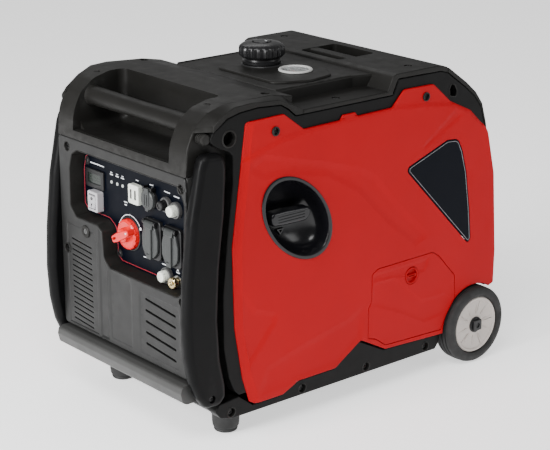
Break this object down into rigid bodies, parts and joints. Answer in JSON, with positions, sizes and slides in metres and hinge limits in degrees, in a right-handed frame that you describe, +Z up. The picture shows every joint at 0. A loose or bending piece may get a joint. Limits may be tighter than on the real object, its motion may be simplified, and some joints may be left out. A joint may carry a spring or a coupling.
{
  "type": "inverter generator",
  "caption": "Closed-frame inverter generator with a fold-down pull handle, recoil starter, control panel with sockets, and two rear wheels.",
  "frame": {"origin": "on the floor under the middle of the machine", "axes": "+X towards the wheels, -X the control panel end, -Y the starter side, +Z up"},
  "size_m": [0.615, 0.37, 0.512],
  "materials": {
    "black_plastic": "fine moulded grain",
    "dark_plastic": "fine moulded grain",
    "grey_plastic": "fine moulded grain",
    "red_plastic": "satin moulded",
    "navy_plate": "printed film",
    "rubber": "matt",
    "tyre": "matt",
    "silver_plastic": "satin silver",
    "white_plastic": "satin",
    "dial_red": "gloss",
    "flap_grey": "satin",
    "steel": "zinc plated",
    "brass": "turned",
    "cast_alloy": "as cast",
    "cord": "braided"
  },
  "bodies": {
    "root": {"base_frame": "black_plastic", "foot_right": "rubber", "foot_left": "rubber", "axle": "steel", "side_frame_right": "black_plastic", "side_frame_left": "black_plastic", "side_panel_right": "red_plastic", "side_panel_left": "red_plastic", "side_inlay_right": "navy_plate", "side_inlay_left": "navy_plate", "recoil_bezel": "dark_plastic", "starter_housing": "black_plastic", "top_cover": "black_plastic", "front_housing": "black_plastic", "grip_bar": "black_plastic", "front_fascia": "grey_plastic", "rear_cover": "black_plastic", "control_plate": "navy_plate", "display_module": "dark_plastic", "eco_switch_housing": "silver_plastic", "usb_socket": "white_plastic", "dc_socket": "dark_plastic", "ac_socket_1": "dark_plastic", "ac_socket_2": "dark_plastic", "ground_stud": "brass", "gauge_bezel": "silver_plastic", "fuel_tank": "black_plastic", "engine_block": "cast_alloy", "spark_plug_cap": "rubber", "alternator_stator": "brass", "muffler": "steel", "carburettor": "cast_alloy", "air_filter_box": "dark_plastic", "inverter_module": "cast_alloy", "starter_rope": "cord"},
    "pull_handle": {"handle_arm_right": "black_plastic", "handle_arm_left": "black_plastic", "handle_crossbar": "grey_plastic"},
    "right_wheel": {"tyre_right": "tyre", "hub_right": "silver_plastic"},
    "left_wheel": {"tyre_left": "tyre", "hub_left": "silver_plastic"},
    "fuel_cap": {"fuel_cap": "black_plastic"},
    "vent_knob": {"vent_knob": "black_plastic"},
    "gauge_needle": {"gauge_needle": "dial_red"},
    "engine_dial": {"engine_dial": "dial_red"},
    "eco_rocker": {"eco_rocker": "silver_plastic"},
    "ac_breaker_1": {"ac_breaker_1": "white_plastic"},
    "ac_breaker_2": {"ac_breaker_2": "white_plastic"},
    "dc_breaker": {"dc_breaker": "dark_plastic"},
    "socket_flap_1": {"socket_flap_1": "flap_grey"},
    "socket_flap_2": {"socket_flap_2": "flap_grey"},
    "dc_socket_cap": {"dc_socket_cap": "flap_grey"},
    "ground_nut": {"ground_nut": "brass"},
    "service_cover": {"service_cover": "red_plastic"},
    "service_latch": {"service_latch": "red_plastic"},
    "oil_dipstick": {"oil_dipstick": "dark_plastic"},
    "recoil_grip": {"recoil_grip": "dark_plastic"},
    "starter_reel": {"starter_reel": "dark_plastic"},
    "crankshaft": {"crankshaft_rotor": "steel"}
  },
  "joints": [
    {"name": "handle_pivot", "type": "hinge", "parent": "root", "child": "pull_handle", "pos_m": [-0.259, 0, 0.404], "axis": [0, 1, 0], "range_deg": [0, 105]},
    {"name": "right_wheel_spin", "type": "hinge", "parent": "root", "child": "right_wheel", "pos_m": [0.247, -0.1655, 0.061], "axis": [0, 1, 0], "continuous": true},
    {"name": "left_wheel_spin", "type": "hinge", "parent": "root", "child": "left_wheel", "pos_m": [0.247, 0.1655, 0.061], "axis": [0, 1, 0], "continuous": true},
    {"name": "fuel_cap_turn", "type": "hinge", "parent": "root", "child": "fuel_cap", "pos_m": [-0.017, 0.019, 0.49], "axis": [0, 0, 1], "range_deg": [0, 360]},
    {"name": "vent_knob_turn", "type": "hinge", "parent": "fuel_cap", "child": "vent_knob", "pos_m": [-0.017, 0.019, 0.509], "axis": [0, 0, 1], "range_deg": [0, 90]},
    {"name": "gauge_needle_swing", "type": "hinge", "parent": "root", "child": "gauge_needle", "pos_m": [-0.008, -0.046, 0.476], "axis": [0, 0, 1], "range_deg": [-60, 60]},
    {"name": "engine_dial_turn", "type": "hinge", "parent": "root", "child": "engine_dial", "pos_m": [-0.268, 0.006, 0.272], "axis": [-1, 0, 0], "range_deg": [0, 90]},
    {"name": "eco_rocker_tilt", "type": "hinge", "parent": "root", "child": "eco_rocker", "pos_m": [-0.272, 0.083, 0.303], "axis": [0, 1, 0], "range_deg": [0, 14]},
    {"name": "ac_breaker_1_press", "type": "slide", "parent": "root", "child": "ac_breaker_1", "axis": [1, 0, 0], "range_m": [0, 0.003], "stiffness_N_per_m": 400, "springref_m": -0.001},
    {"name": "ac_breaker_2_press", "type": "slide", "parent": "root", "child": "ac_breaker_2", "axis": [1, 0, 0], "range_m": [0, 0.003], "stiffness_N_per_m": 400, "springref_m": -0.001},
    {"name": "dc_breaker_press", "type": "slide", "parent": "root", "child": "dc_breaker", "axis": [1, 0, 0], "range_m": [0, 0.003], "stiffness_N_per_m": 400, "springref_m": -0.001},
    {"name": "socket_flap_1_lift", "type": "hinge", "parent": "root", "child": "socket_flap_1", "pos_m": [-0.2765, -0.051, 0.304], "axis": [0, 1, 0], "range_deg": [0, 100], "stiffness_Nm_per_rad": 0.02, "springref_deg": -17.19},
    {"name": "socket_flap_2_lift", "type": "hinge", "parent": "root", "child": "socket_flap_2", "pos_m": [-0.2765, -0.097, 0.304], "axis": [0, 1, 0], "range_deg": [0, 100], "stiffness_Nm_per_rad": 0.02, "springref_deg": -17.19},
    {"name": "dc_socket_cap_lift", "type": "hinge", "parent": "root", "child": "dc_socket_cap", "pos_m": [-0.274, -0.046, 0.351], "axis": [0, 1, 0], "range_deg": [0, 110]},
    {"name": "ground_nut_turn", "type": "hinge", "parent": "root", "child": "ground_nut", "pos_m": [-0.276, -0.103, 0.23], "axis": [-1, 0, 0], "continuous": true},
    {"name": "service_cover_pull", "type": "slide", "parent": "root", "child": "service_cover", "axis": [0, -1, 0], "range_m": [0, 0.06]},
    {"name": "service_latch_turn", "type": "hinge", "parent": "service_cover", "child": "service_latch", "pos_m": [0.113, -0.165, 0.17], "axis": [0, -1, 0], "range_deg": [0, 90]},
    {"name": "oil_dipstick_turn", "type": "hinge", "parent": "root", "child": "oil_dipstick", "pos_m": [0.1, -0.105, 0.112], "axis": [0, -1, 0], "range_deg": [0, 360]},
    {"name": "recoil_pull", "type": "slide", "parent": "root", "child": "recoil_grip", "axis": [0, -1, 0], "range_m": [0, 0.6], "deforming": ["starter_rope"]},
    {"name": "starter_reel_spin", "type": "hinge", "parent": "root", "child": "starter_reel", "pos_m": [0.01, -0.1225, 0.19], "axis": [0, -1, 0], "range_deg": [0, 765]},
    {"name": "crankshaft_spin", "type": "hinge", "parent": "root", "child": "crankshaft", "pos_m": [0.01, -0.05, 0.19], "axis": [0, 1, 0], "continuous": true}
  ],
  "couplings": [
    {"joint": "starter_reel_spin", "follows": "recoil_pull", "rad_per_m": 22.222}
  ]
}
